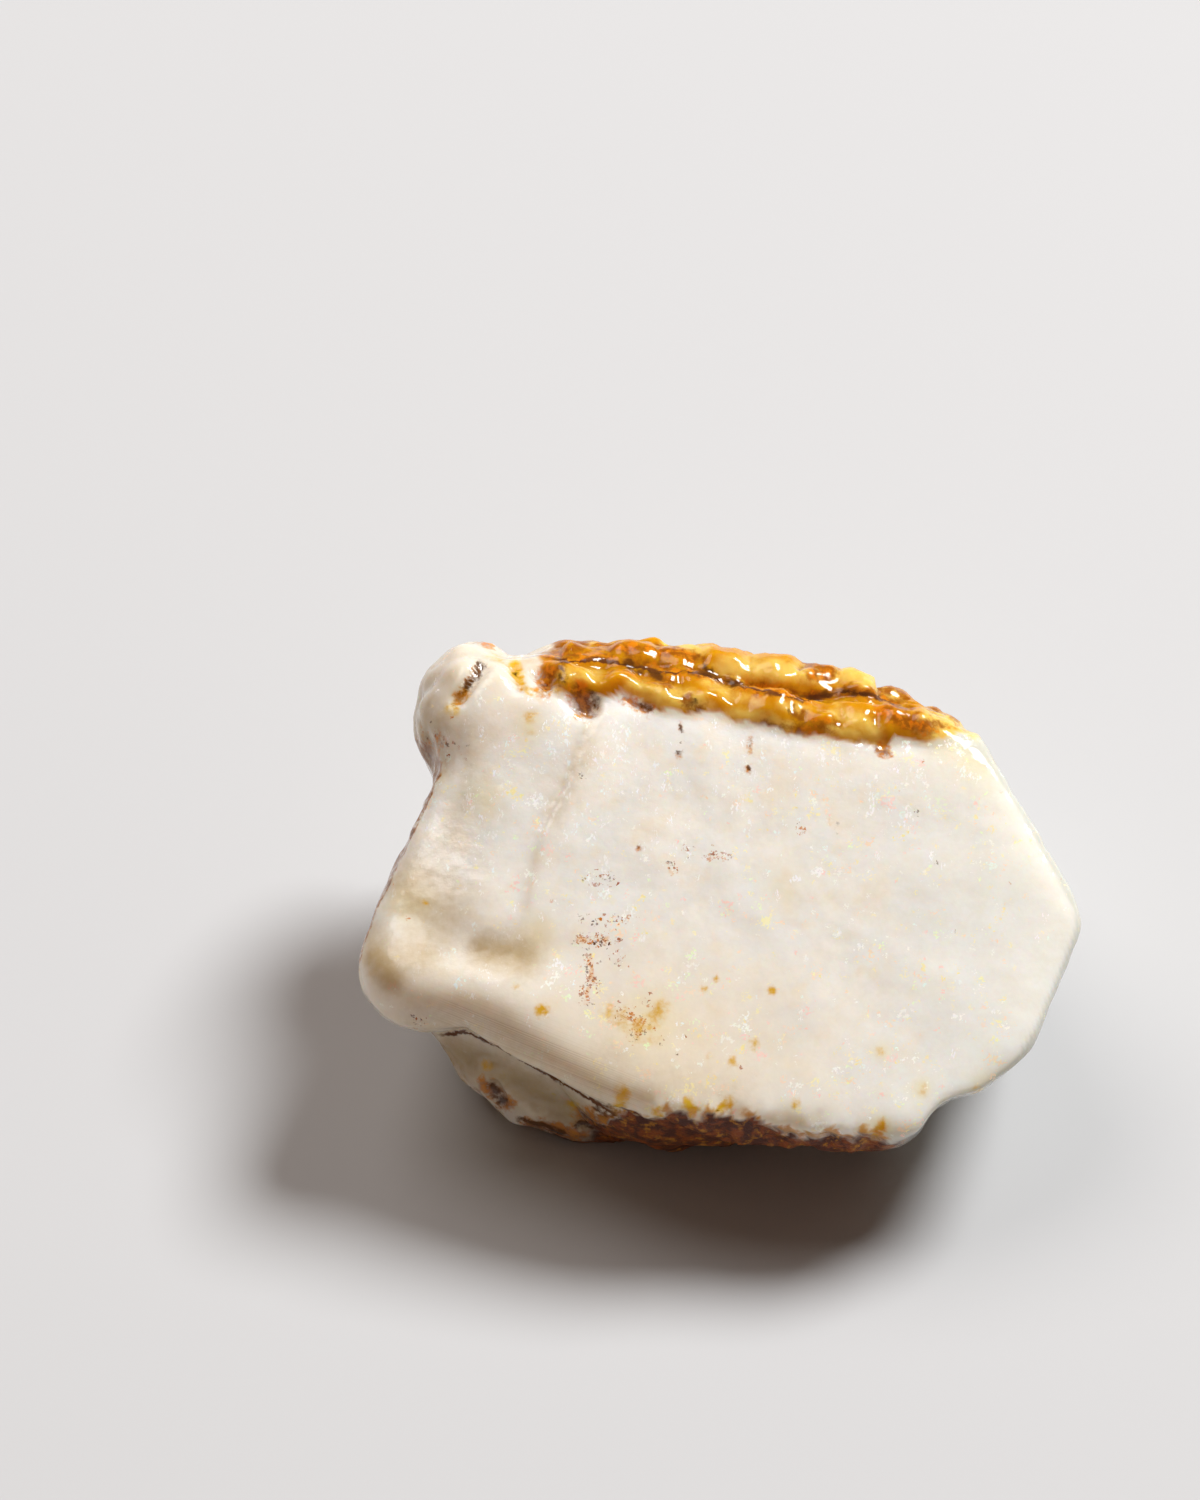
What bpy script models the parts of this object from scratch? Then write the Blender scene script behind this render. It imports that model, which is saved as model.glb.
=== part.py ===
"""Rough opal specimen, one solid stone at its real size: metres, +Z up, standing on its flat underside.

The stone is described from its heart, in millimetres, in the frame of its broad broken face: u runs to the right
along that face, v up along it and w straight out of it. At rest the face leans back, so that w rises FACE_RISE
degrees above level. The breaks that bound the stone are planes. Lumps are added to them and hollows scooped out,
all with rounded edges, and then the smaller relief is raised and sunk along the surface: the rows of nodules on
the skin on top, the pits beside them, the step and the swelling on the broken face, and the rough crust below.
"""

import math

import bpy
import numpy as np
from mathutils import Vector, noise

MM = 0.001

# How the stone rests.
FACE_RISE = 51.0  # degrees that the face's own direction w rises above level
BASE_DROP = 8.8  # mm from the heart straight down to the flat underside
HEART_X = -0.21  # mm from the middle of the stone's box to its heart
HEART_Y = 1.28

# The breaks: degrees turned from u toward v, degrees leaned toward w, and mm from the heart.
BREAKS = {
    "face_main": (79.0, 74.6, 6.6),
    "face_left": (126.0, 68.3, 9.1),
    "lip_slope": (-129.0, 50.0, 14.75),
    "lip_undercut": (-110.5, -28.0, 7.1),
    "crust_strip": (-95.0, 30.0, 15.1),
    "top_skin": (82.5, 40.7, 9.95),
    "top_left": (97.0, 15.0, 13.9),
    "back_top": (80.0, -25.0, 11.75),
    "back_right_top": (64.0, -12.0, 14.05),
    "right_upper": (28.0, -8.0, 16.05),
    "right_lower": (-23.5, -4.0, 18.25),
    "lower_right": (-54.8, 0.0, 16.6),
    "bottom": (-90.0, 0.0, 13.7),
    "left_flank": (157.4, -5.0, 16.25),
    "lower_left": (-124.0, 0.0, 15.5),
    "lower_back": (90.0, -69.0, 10.5),
    "back_left": (133.0, -24.0, 15.6),
    "back_right": (40.0, -27.5, 14.0),
    "under_right": (-46.0, -28.0, 13.8),
    "under_left": (-136.0, -34.0, 12.5),
}
EDGE_ROUND = 0.4  # mm, how softly the breaks meet
WORN_ROUND = 0.8  # mm, the same at the worn left end
WORN_ALONG = (-10.0, -15.5)  # mm of u
WANDER = 0.3  # mm that the breaks and edges stray
WANDER_SIZE = 4.5  # mm
WANDER_PLACES = ((0.0, 0.0, 0.0), (37.0, 0.0, 0.0), (0.0, 53.0, 0.0))  # mm, where u, v and w read the noise
CALM = 0.7  # share of the straying that is missing on the broad face
CALM_ALONG = (0.25, 0.6)  # how far along w the way from the heart points

# Lumps: centre, half sizes along u, v and w, degrees turned from u toward v, and mm that they blend over.
LUMPS = {
    "knob": ((-13.2, 9.7, -1.0), (3.0, 3.9, 4.6), 0.0, 1.5),
    "corner": ((-15.5, -4.4, 5.0), (3.5, 2.9, 2.7), 0.0, 1.0),
    "under_crust": ((-1.5, -8.4, 2.5), (7.5, 5.2, 5.5), 0.0, 0.4),
    "belly": ((-5.5, -2.7, -0.4), (11.0, 10.8, 5.4), 0.0, 0.4),
    "back_swell": ((3.0, 3.4, -5.2), (11.0, 7.2, 6.6), 10.0, 1.5),
}

# Hollows, the shell-shaped bites of old breaks among them: the same, taken away.
HOLLOWS = {
    "notch": ((13.5, -12.5, 2.0), (2.4, 2.0, 20.0), 5.0, 0.6),
    "back_bite": ((-3.5, 17.2, -11.2), (8.0, 9.0, 9.0), 0.0, 0.5),
    "right_bite": ((24.2, 2.5, -4.4), (8.4, 8.0, 8.0), 0.0, 0.5),
    "left_bite": ((-23.5, 3.5, -4.8), (8.2, 6.0, 7.0), 0.0, 0.6),
    "low_right_bite": ((13.5, -13.6, -9.8), (8.0, 7.0, 8.0), 0.0, 0.6),
}

# The ridges on the top skin: the ridge's w at u = 0, how w changes along u, half width across, height, and where
# along u each of its nodules has its middle.
NODULE_ROWS = {
    "front": (3.17, 0.0, 0.95, 0.85, (-7.6, -5.2, -2.9, -0.8, 2.3, 5.7, 7.7, 9.6, 11.4, 12.8)),
    "middle": (2.2, -0.05, 0.5, 0.50, (-8.2, -6.1, -3.8, -1.8, 0.4)),
    "back": (1.0, -0.04, 1.1, 0.85, (-6.8, -4.3, -2.2, 0.5, 3.2, 5.7, 7.6)),
    "rear": (-0.6, -0.04, 0.6, 0.35, (-5.6, -3.2, -0.6, 1.9, 4.4, 6.6)),
}
NECK = 0.42  # height of a ridge between two nodules, over its height on them
NODULE_OVERLAP = 1.1  # half length of a nodule, over half the way to the next
RIDGE_STRAY = 0.28  # mm that the ridges stray from straight lines
RIDGE_STRAY_SIZE = 3.0  # mm

# Pits: both ends along u and v, half width and depth.
PITS = {
    "knob_pit": ((-12.5, 12.3), (-13.9, 10.6), 0.42, 0.55),
    "slit": ((-10.8, 12.4), (-10.6, 11.2), 0.32, 0.35),
    "brown_pit": ((-9.5, 12.0), (-9.0, 11.5), 0.50, 0.40),
    "deep_pit": ((-7.4, 10.6), (-6.8, 10.2), 0.62, 0.60),
    "shallow_pit": ((-4.5, 10.6), (-3.7, 10.2), 0.35, 0.30),
    "lobe_pit": ((-12.0, -10.3), (-11.5, -11.2), 0.35, 0.40),
    "lobe_slit": ((-7.3, -12.4), (-6.4, -12.5), 0.30, 0.40),
}

# Swellings and dips of the broken face: both ends along u and v, half width and height.
SWELLINGS = {
    "corner_swelling": ((-17.6, -4.6), (-9.5, -5.3), 1.7, 0.4),
    "corner_dip": ((-17.2, -2.6), (-8.5, -2.9), 1.3, -0.28),
    "left_dip": ((-13.6, 8.0), (-14.4, 1.5), 1.5, -0.25),
    "lip_swelling": ((-15.5, -6.7), (-6.5, -10.2), 0.9, 0.15),
}

# The step down the broken face, from top to bottom along u and v.
STEP = ((-5.6, 11.5), (-6.2, 10.0), (-7.6, 6.8), (-9.2, 3.5), (-10.0, -0.3), (-10.3, -3.0))
STEP_DROP = 0.22  # mm
STEP_FADE = 3.0  # mm that the lower side takes to come up again

# Unevenness: height and size of its lumps in mm, and how many finer layers they carry.
UNEVENNESS = {
    "opal": (0.12, 2.2, 2),
    "skin": (0.22, 1.5, 2),
    "crust": (0.30, 1.1, 3),
    "sides": (0.40, 2.4, 2),
    "back": (0.45, 4.5, 2),
    "back_fine": (0.15, 1.4, 2),
}

# Where each kind of small relief sets in and where it is full.
ON_FACE = (0.2, 0.6)  # how far along w the surface's outward normal points
ON_BACK = (0.0, -0.5)  # the same
ON_SIDES = (4.0, 2.5)  # mm of w
SKIN_DEPTH = (-1.6, -0.5)  # mm beyond the plane of the top skin
SKIN_ALONG = (-10.0, -8.0)  # mm of u
ROWS_ALONG = (13.6, 10.5)  # mm of u
DOME_EDGE = (0.0, 0.3)  # share of a nodule's height
PIT_WALL = (1.3, 0.3)  # half widths of the pit
STEP_EDGE = (-0.15, 0.35)  # mm to the left of the step
STEP_RUN = 4.0  # mm of v over which the step comes up to its full drop
CRUST_DEPTH = (-1.1, -0.4)  # mm beyond the plane of the crust strip
CRUST_LEFT = (-7.0, -5.0)  # mm of u
CRUST_RIGHT = (9.5, 8.0)  # mm of u
UNDER_SLANT = 0.35  # mm of v that the crust underneath climbs for each mm of w
UNDER_LEVEL = (-9.5, -11.5)  # mm of v
UNDER_DEPTH = (2.5, -0.5)  # mm of w

# The mesh: cells along each side of the six-sided grid, and the share of its triangles that are kept.
CELLS = 76
GRID_SHAPE = (19.0, 12.5, 9.5)  # half sizes of the ellipsoid that the grid is spread over
KEPT_SHARE = 0.14
FARTHEST = 30.0  # mm, beyond every point of the stone
MARCH_STEPS = 60
HALVINGS = 14
NUDGE = 0.05  # mm to each side, when the way the surface faces is measured
BLOCK = 40.0  # mm, half the width of the block that cuts the underside flat


def facing(turn, lean):
    """The unit vector that is turned from u toward v and then leaned toward w, in degrees."""
    turn = math.radians(turn)
    lean = math.radians(lean)
    flat = math.cos(lean)
    return np.array((flat * math.cos(turn), flat * math.sin(turn), math.sin(lean)))


def smaller(a, b, blend):
    """The smaller of two distances, rounded where they cross."""
    overlap = np.maximum(blend - np.abs(a - b), 0.0) / blend
    return np.minimum(a, b) - overlap * overlap * blend / 4.0


def ramp(values, start, full):
    """0 up to start and 1 from full on, with a smooth change between them. Start may be the higher of the two."""
    share = np.clip((values - start) / (full - start), 0.0, 1.0)
    return share * share * (3.0 - 2.0 * share)


def grain(points, size, octaves=1):
    """Smooth noise of about -1 to 1, with lumps of the given size in mm."""
    return np.array([noise.fractal(Vector(point) / size, 1.0, 2.0, octaves) for point in points])


def ellipsoid(points, centre, half_sizes, turn):
    """About how far each point is outside an ellipsoid."""
    turn = math.radians(turn)
    offset = points - np.array(centre)
    along = offset[:, 0] * math.cos(turn) + offset[:, 1] * math.sin(turn)
    across = offset[:, 1] * math.cos(turn) - offset[:, 0] * math.sin(turn)
    scaled = np.stack((along, across, offset[:, 2]), axis=1) / np.array(half_sizes)
    reach = np.linalg.norm(scaled, axis=1)
    steep = np.linalg.norm(scaled / np.array(half_sizes), axis=1)
    return reach * (reach - 1.0) / np.maximum(steep, 1e-9)


def beyond(points, name):
    """How far each point is beyond the plane of one break."""
    turn, lean, distance = BREAKS[name]
    return points @ facing(turn, lean) - distance


def outside(points):
    """About how far each point is outside the stone, before its small relief."""
    total = np.zeros(len(points))
    edge_round = EDGE_ROUND + (WORN_ROUND - EDGE_ROUND) * ramp(points[:, 0], *WORN_ALONG)
    for name in BREAKS:
        total += np.exp(beyond(points, name) / edge_round)
    depth = edge_round * np.log(total)
    for centre, half_sizes, turn, blend in LUMPS.values():
        depth = smaller(depth, ellipsoid(points, centre, half_sizes, turn), blend)
    for centre, half_sizes, turn, blend in HOLLOWS.values():
        depth = -smaller(-depth, ellipsoid(points, centre, half_sizes, turn), blend)
    return depth


def surface(directions):
    """The outermost point of the stone along each direction from its heart, and its outward normal."""
    spread = directions * np.array(GRID_SHAPE)
    stray = np.stack([grain(spread + place, WANDER_SIZE) for place in WANDER_PLACES], axis=1)
    stray *= WANDER * (1.0 - CALM * ramp(directions[:, 2:], *CALM_ALONG))

    def depth_at(rows, reach):
        return outside(directions[rows] * reach[:, None] + stray[rows])

    every = np.arange(len(directions))
    step = FARTHEST / MARCH_STEPS
    inner = np.full(len(directions), FARTHEST)
    waiting = every
    while len(waiting):
        inner[waiting] -= step
        waiting = waiting[depth_at(waiting, inner[waiting]) >= 0.0]
    outer = inner + step
    for _ in range(HALVINGS):
        middle = (inner + outer) / 2.0
        inside = depth_at(every, middle) < 0.0
        inner = np.where(inside, middle, inner)
        outer = np.where(inside, outer, middle)
    points = directions * inner[:, None]
    normals = np.empty_like(points)
    for axis in range(3):
        nudge = np.zeros(3)
        nudge[axis] = NUDGE
        normals[:, axis] = outside(points + stray + nudge) - outside(points + stray - nudge)
    return points, normals / np.linalg.norm(normals, axis=1)[:, None]


def from_segment(points, start, end):
    """Distance along u and v from each point to a straight stretch."""
    start = np.array(start)
    run = np.array(end) - start
    offset = points[:, :2] - start
    share = np.clip(offset @ run / (run @ run), 0.0, 1.0)
    return np.linalg.norm(offset - share[:, None] * run, axis=1)


def nodules(points):
    """Height of the nodules on the top skin."""
    height = np.zeros(len(points))
    strayed = points.copy()
    strayed[:, 0] += RIDGE_STRAY * grain(points, RIDGE_STRAY_SIZE)
    strayed[:, 2] += RIDGE_STRAY * grain(points[:, ::-1], RIDGE_STRAY_SIZE)
    for start, change, half_width, tall, middles in NODULE_ROWS.values():
        gaps = np.diff(middles)
        before = np.concatenate((gaps[:1], gaps))
        after = np.concatenate((gaps, gaps[-1:]))
        for middle, gap_before, gap_after in zip(middles, before, after):
            offset = strayed[:, 0] - middle
            half_length = np.where(offset < 0.0, gap_before, gap_after) / 2.0 * NODULE_OVERLAP
            across = (strayed[:, 2] - start - change * strayed[:, 0]) / half_width
            dome = np.sqrt(np.clip(1.0 - (offset / half_length) ** 2, 0.0, 1.0))
            crest = tall * (NECK * ramp(dome, *DOME_EDGE) + (1.0 - NECK) * dome)
            height = np.maximum(height, crest * np.sqrt(np.clip(1.0 - across ** 2, 0.0, 1.0)))
    on_skin = ramp(beyond(points, "top_skin"), *SKIN_DEPTH) * ramp(points[:, 0], *SKIN_ALONG)
    return (height * ramp(points[:, 0], *ROWS_ALONG) + uneven(points, "skin")) * on_skin


def sinks(points, facing_w):
    """Depth of the pits, on the side of the stone that faces along w."""
    depth = np.zeros(len(points))
    for start, end, half_width, deep in PITS.values():
        away = from_segment(points, start, end) / half_width
        depth = np.maximum(depth, deep * ramp(away, *PIT_WALL))
    return depth * facing_w


def swellings(points, facing_w):
    """Height of the swellings and dips of the broken face."""
    height = np.zeros(len(points))
    for start, end, half_width, tall in SWELLINGS.values():
        middle = (np.array(start) + np.array(end)) / 2.0
        run = np.array(end) - np.array(start)
        half_length = np.linalg.norm(run) / 2.0
        offset = points[:, :2] - middle
        along = offset @ run / (2.0 * half_length) / half_length
        across = (offset[:, 0] * run[1] - offset[:, 1] * run[0]) / (2.0 * half_length) / half_width
        height += tall * np.exp(-along * along - across * across)
    return height * facing_w


def step_down(points, facing_w):
    """Drop of the broken face just to the left of its step."""
    line = np.array(STEP)
    edge = np.interp(points[:, 1], line[::-1, 1], line[::-1, 0])
    left = edge - points[:, 0]
    drop = ramp(left, *STEP_EDGE) * ramp(left, STEP_FADE, STEP_EDGE[1])
    along = ramp(points[:, 1], line[-1, 1], line[-1, 1] + STEP_RUN)
    return STEP_DROP * drop * along * facing_w


def crust_share(points):
    """1 on the rough crust along the bottom and underneath, 0 on the opal."""
    low = ramp(beyond(points, "crust_strip"), *CRUST_DEPTH)
    under = ramp(points[:, 1] + UNDER_SLANT * points[:, 2], *UNDER_LEVEL) * ramp(points[:, 2], *UNDER_DEPTH)
    return np.maximum(low, under) * ramp(points[:, 0], *CRUST_LEFT) * ramp(points[:, 0], *CRUST_RIGHT)


def uneven(points, name):
    """Height of one kind of unevenness."""
    tall, size, layers = UNEVENNESS[name]
    return tall * grain(points, size, layers)


def relief(points, normals):
    """Points of the stone with the small relief added."""
    facing_w = ramp(normals[:, 2], *ON_FACE)
    back = uneven(points, "back") + uneven(points, "back_fine")
    height = nodules(points) - sinks(points, facing_w) + swellings(points, facing_w)
    height -= step_down(points, facing_w)
    height += uneven(points, "opal") * (1.0 - 0.5 * facing_w)
    height += uneven(points, "sides") * ramp(points[:, 2], *ON_SIDES)
    height += back * ramp(normals[:, 2], *ON_BACK)
    height += uneven(points, "crust") * crust_share(points)
    return points + normals * height[:, None]


def grid():
    """Directions and quads of a cube-shaped grid spread over an ellipsoid."""
    ticks = np.tan(np.linspace(-1.0, 1.0, CELLS + 1) * math.pi / 4.0)
    number = {}
    directions = []
    quads = []

    def corner(key):
        if key not in number:
            number[key] = len(directions)
            directions.append([ticks[i] for i in key])
        return number[key]

    for axis in range(3):
        for side in (0, CELLS):
            for a in range(CELLS):
                for b in range(CELLS):
                    ring = []
                    for da, db in ((0, 0), (1, 0), (1, 1), (0, 1)):
                        key = [0, 0, 0]
                        key[axis] = side
                        key[(axis + 1) % 3] = a + da
                        key[(axis + 2) % 3] = b + db
                        ring.append(corner(tuple(key)))
                    quads.append(ring if side else ring[::-1])
    directions = np.array(directions)
    directions /= np.linalg.norm(directions, axis=1)[:, None]
    directions *= np.array(GRID_SHAPE)
    directions /= np.linalg.norm(directions, axis=1)[:, None]
    return directions, quads


def at_rest(points):
    """Points of the face's frame, in mm, moved to where they are in the resting stone, in metres."""
    rise = math.radians(FACE_RISE)
    across = points[:, 1] * math.sin(rise) - points[:, 2] * math.cos(rise)
    up = points[:, 1] * math.cos(rise) + points[:, 2] * math.sin(rise)
    placed = np.stack((points[:, 0] + HEART_X, across + HEART_Y, up + BASE_DROP), axis=1)
    return placed * MM


def opal_material():
    material = bpy.data.materials.new("milky_opal")
    material.use_nodes = True
    shader = material.node_tree.nodes["Principled BSDF"]
    shader.inputs["Base Color"].default_value = (0.80, 0.75, 0.66, 1.0)
    shader.inputs["Roughness"].default_value = 0.25
    shader.inputs["Metallic"].default_value = 0.0
    return material


def below_the_base():
    """The block that the flat underside is cut with."""
    mesh = bpy.data.meshes.new("below_the_base")
    corners = [(x, y, z) for x in (-1, 1) for y in (-1, 1) for z in (-1, 0)]
    faces = ((0, 1, 3, 2), (4, 6, 7, 5), (0, 4, 5, 1), (2, 3, 7, 6), (0, 2, 6, 4), (1, 5, 7, 3))
    mesh.from_pydata([tuple(BLOCK * MM * value for value in corner) for corner in corners], [], faces)
    block = bpy.data.objects.new("below_the_base", mesh)
    block.hide_render = True
    block.display_type = "WIRE"
    bpy.context.scene.collection.objects.link(block)
    return block


def main():
    for old in list(bpy.data.objects):
        bpy.data.objects.remove(old, do_unlink=True)
    directions, quads = grid()
    points = relief(*surface(directions))
    mesh = bpy.data.meshes.new("opal")
    mesh.from_pydata(at_rest(points).tolist(), [], quads)
    mesh.materials.append(opal_material())
    mesh.shade_smooth()
    stone = bpy.data.objects.new("opal", mesh)
    bpy.context.scene.collection.objects.link(stone)
    thin = stone.modifiers.new("fewer_triangles", "DECIMATE")
    thin.ratio = KEPT_SHARE
    flatten = stone.modifiers.new("flat_underside", "BOOLEAN")
    flatten.object = below_the_base()


main()
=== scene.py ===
"""The looks of the rough opal specimen: its fine surface and materials, the floor, the lights and the camera.

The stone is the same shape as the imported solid, made again on a finer grid. It is described from its heart,
in millimetres, in the frame of its broad broken face: u runs to the right along that face, v up along it and
w straight out of it. At rest the face leans back, so that w rises FACE_RISE degrees above level.
"""

import math

import bpy
import numpy as np
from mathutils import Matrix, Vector, noise


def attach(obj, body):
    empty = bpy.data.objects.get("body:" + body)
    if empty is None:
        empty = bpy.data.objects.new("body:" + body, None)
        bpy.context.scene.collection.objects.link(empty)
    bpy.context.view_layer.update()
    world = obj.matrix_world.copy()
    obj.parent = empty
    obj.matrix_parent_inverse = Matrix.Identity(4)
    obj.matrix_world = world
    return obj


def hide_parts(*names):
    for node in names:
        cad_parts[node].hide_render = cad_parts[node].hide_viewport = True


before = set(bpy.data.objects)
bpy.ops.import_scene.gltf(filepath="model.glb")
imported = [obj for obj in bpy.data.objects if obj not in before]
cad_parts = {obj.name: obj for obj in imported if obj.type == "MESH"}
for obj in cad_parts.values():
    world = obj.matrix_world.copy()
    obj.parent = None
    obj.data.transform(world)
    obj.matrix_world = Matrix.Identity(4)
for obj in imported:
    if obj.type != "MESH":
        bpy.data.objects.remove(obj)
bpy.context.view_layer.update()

MM = 0.001
PER_MM = 1 / MM

# ---- The stone's form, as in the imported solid

FACE_RISE = 51  # degrees that the face's own direction w rises above level
BASE_DROP = 8.8  # mm from the heart straight down to the flat underside
HEART_X = -0.21  # mm from the middle of the stone's box to its heart
HEART_Y = 1.28

# The breaks: degrees turned from u toward v, degrees leaned toward w, and mm from the heart.
BREAKS = {
    "face_main": (79, 74.6, 6.6),
    "face_left": (126, 68.3, 9.1),
    "lip_slope": (-129, 50, 14.75),
    "lip_undercut": (-110.5, -28, 7.1),
    "crust_strip": (-95, 30, 15.1),
    "top_skin": (82.5, 40.7, 9.95),
    "top_left": (97, 15, 13.9),
    "back_top": (80, -25, 11.75),
    "back_right_top": (64, -12, 14.05),
    "right_upper": (28, -8, 16.05),
    "right_lower": (-23.5, -4, 18.25),
    "lower_right": (-54.8, 0, 16.6),
    "bottom": (-90, 0, 13.7),
    "left_flank": (157.4, -5, 16.25),
    "lower_left": (-124, 0, 15.5),
    "lower_back": (90, -69, 10.5),
    "back_left": (133, -24, 15.6),
    "back_right": (40, -27.5, 14),
    "under_right": (-46, -28, 13.8),
    "under_left": (-136, -34, 12.5),
}
EDGE_ROUND = 0.4  # mm, how softly the breaks meet
WORN_ROUND = 0.8  # mm, the same at the worn left end
WORN_ALONG = (-10, -15.5)  # mm of u
WANDER = 0.3  # mm that the breaks and edges stray
WANDER_SIZE = 4.5  # mm
WANDER_PLACES = ((0, 0, 0), (37, 0, 0), (0, 53, 0))  # mm, where u, v and w read the noise
CALM = 0.7  # share of the straying that is missing on the broad face
CALM_ALONG = (0.25, 0.6)  # how far along w the way from the heart points

# Lumps: centre, half sizes along u, v and w, degrees turned from u toward v, and mm that they blend over.
LUMPS = {
    "knob": ((-13.2, 9.7, -1), (3, 3.9, 4.6), 0, 1.5),
    "corner": ((-15.5, -4.4, 5), (3.5, 2.9, 2.7), 0, 1),
    "under_crust": ((-1.5, -8.4, 2.5), (7.5, 5.2, 5.5), 0, 0.4),
    "belly": ((-5.5, -2.7, -0.4), (11, 10.8, 5.4), 0, 0.4),
    "back_swell": ((3, 3.4, -5.2), (11, 7.2, 6.6), 10, 1.5),
}

# Hollows, such as the shell-shaped bites of old breaks: the same, taken away.
HOLLOWS = {
    "notch": ((13.5, -12.5, 2), (2.4, 2, 20), 5, 0.6),
    "back_bite": ((-3.5, 17.2, -11.2), (8, 9, 9), 0, 0.5),
    "right_bite": ((24.2, 2.5, -4.4), (8.4, 8, 8), 0, 0.5),
    "left_bite": ((-23.5, 3.5, -4.8), (8.2, 6, 7), 0, 0.6),
    "low_right_bite": ((13.5, -13.6, -9.8), (8, 7, 8), 0, 0.6),
}

# The ridges on the top skin: w at u = 0, how w changes along u, half width, height, and u of each nodule.
NODULE_ROWS = {
    "front": (3.17, 0, 0.95, 0.85, (-7.6, -5.2, -2.9, -0.8, 2.3, 5.7, 7.7, 9.6, 11.4, 12.8)),
    "middle": (2.2, -0.05, 0.5, 0.5, (-8.2, -6.1, -3.8, -1.8, 0.4)),
    "back": (1, -0.04, 1.1, 0.85, (-6.8, -4.3, -2.2, 0.5, 3.2, 5.7, 7.6)),
    "rear": (-0.6, -0.04, 0.6, 0.35, (-5.6, -3.2, -0.6, 1.9, 4.4, 6.6)),
}
NECK = 0.42  # height of a ridge between two nodules, over its height on them
NODULE_OVERLAP = 1.1  # half length of a nodule, over half the way to the next
RIDGE_STRAY = 0.28  # mm that the ridges stray from straight lines
RIDGE_STRAY_SIZE = 3  # mm

# Pits: both ends along u and v, half width and depth.
PITS = {
    "knob_pit": ((-12.5, 12.3), (-13.9, 10.6), 0.42, 0.55),
    "slit": ((-10.8, 12.4), (-10.6, 11.2), 0.32, 0.35),
    "brown_pit": ((-9.5, 12), (-9, 11.5), 0.5, 0.4),
    "deep_pit": ((-7.4, 10.6), (-6.8, 10.2), 0.62, 0.6),
    "shallow_pit": ((-4.5, 10.6), (-3.7, 10.2), 0.35, 0.3),
    "lobe_pit": ((-12, -10.3), (-11.5, -11.2), 0.35, 0.4),
    "lobe_slit": ((-7.3, -12.4), (-6.4, -12.5), 0.3, 0.4),
}

# Swellings and dips of the broken face: both ends along u and v, half width and height.
SWELLINGS = {
    "corner_swelling": ((-17.6, -4.6), (-9.5, -5.3), 1.7, 0.4),
    "corner_dip": ((-17.2, -2.6), (-8.5, -2.9), 1.3, -0.28),
    "left_dip": ((-13.6, 8), (-14.4, 1.5), 1.5, -0.25),
    "lip_swelling": ((-15.5, -6.7), (-6.5, -10.2), 0.9, 0.15),
}

# The step down the broken face, from top to bottom along u and v.
STEP = ((-5.6, 11.5), (-6.2, 10), (-7.6, 6.8), (-9.2, 3.5), (-10, -0.3), (-10.3, -3))
STEP_DROP = 0.22  # mm
STEP_FADE = 3  # mm that the lower side takes to come up again

# Unevenness, coarse and fine: height and size of its lumps in mm, and how many finer layers they carry.
UNEVENNESS = {
    "opal": ((0.12, 2.2, 2),),
    "opal_fine": ((0.025, 0.7, 2),),
    "skin": ((0.22, 1.5, 2), (0.08, 0.55, 2)),
    "crust": ((0.3, 1.1, 3), (0.14, 0.45, 2)),
    "sides": ((0.4, 2.4, 2),),
    "back": ((0.45, 4.5, 2), (0.15, 1.4, 2)),
}

# Where each kind of small relief sets in and where it is full.
ON_FACE = (0.2, 0.6)  # how far along w the surface's outward normal points
ON_BACK = (0, -0.5)  # the same
RIM = (0.975, 0.7)  # the same
ON_SIDES = (4, 2.5)  # mm of w
FACE_EVEN = 0.7  # share of the opal's unevenness that is missing on the broken face
SKIN_DEPTH = (-1.6, -0.5)  # mm beyond the plane of the top skin
SKIN_ALONG = (-10, -8)  # mm of u
ROWS_ALONG = (13.6, 10.5)  # mm of u
DOME_EDGE = (0, 0.3)  # share of a nodule's height
RUGGED_ABOVE = (-1.2, 0.4)  # mm of v above the front edge of the amber skin
RIDGE_ABOVE = (-0.5, 0.25)  # the same
PIT_WALL = (1.3, 0.3)  # half widths of the pit
STEP_EDGE = (-0.15, 0.35)  # mm to the left of the step
STEP_RUN = 4  # mm of v over which the step comes up to its full drop
CRUST_DEPTH = (-1.1, -0.4)  # mm beyond the plane of the crust strip
CRUST_LEFT = (-7, -5)  # mm of u
CRUST_RIGHT = (9.5, 8)  # mm of u
UNDER_SLANT = 0.35  # mm of v that the crust underneath climbs for each mm of w
UNDER_LEVEL = (-9.5, -11.5)  # mm of v
UNDER_DEPTH = (2.5, -0.5)  # mm of w

CELLS = 126  # along each side of the six-sided grid
GRID_SHAPE = (19, 12.5, 9.5)  # half sizes of the ellipsoid that the grid is spread over
FARTHEST = 30.0  # mm, beyond every point of the stone
MARCH_STEPS = 60
HALVINGS = 14
NUDGE = 0.05  # mm to each side, when the way the surface faces is measured

# ---- Where the colours lie

# The front edge of the amber skin: u and v of each place on its way from left to right.
AMBER_EDGE = (
    -9.6, 13.2, -9.1, 11.3, -7.6, 10.7, -6.2, 10.8, -5.1, 11, -4, 10.5, -3, 10, -1.3, 9.9, -0.3, 10.1,
    1.1, 9.4, 2.7, 9.3, 3.8, 8.8, 6.2, 8.6, 7.8, 8.2, 8.9, 7.9, 9.7, 8.6, 11.6, 8.3, 13.2, 8.7, 14.6, 8.3,
)

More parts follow.
